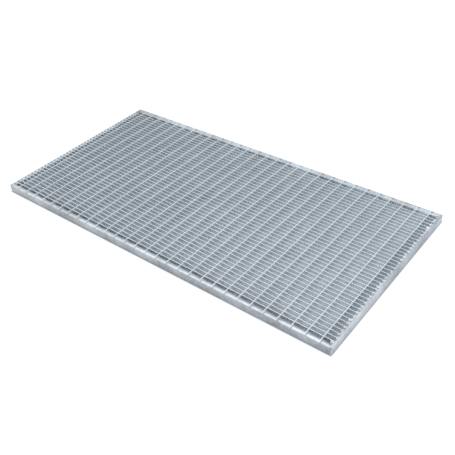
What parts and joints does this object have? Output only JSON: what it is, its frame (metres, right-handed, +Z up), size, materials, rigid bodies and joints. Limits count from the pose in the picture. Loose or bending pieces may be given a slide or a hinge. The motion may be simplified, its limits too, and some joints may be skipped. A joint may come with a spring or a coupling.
{
  "type": "steel grating panel",
  "caption": "Rectangular pressed steel grating panel: tall bearing bars and shallow cross bars flush on top, framed by a rolled edging.",
  "frame": {"origin": "centre of the panel's underside, on the level it rests on", "axes": "+X along the panel's length and its cross bars, +Y along the bearing bars from the front edge to the back edge, +Z up to the walking surface"},
  "size_m": [0.99, 0.49, 0.02],
  "materials": {
    "galvanised_bars": "hot-dip galvanised",
    "galvanised_edging": "hot-dip galvanised"
  },
  "bodies": {
    "root": {"bar_grid_1": "galvanised_bars", "bar_grid_2": "galvanised_bars", "bar_grid_3": "galvanised_bars", "bar_grid_4": "galvanised_bars", "bar_grid_5": "galvanised_bars", "edging_front": "galvanised_edging", "edging_right": "galvanised_edging", "edging_back": "galvanised_edging", "edging_left": "galvanised_edging"}
  },
  "joints": []
}
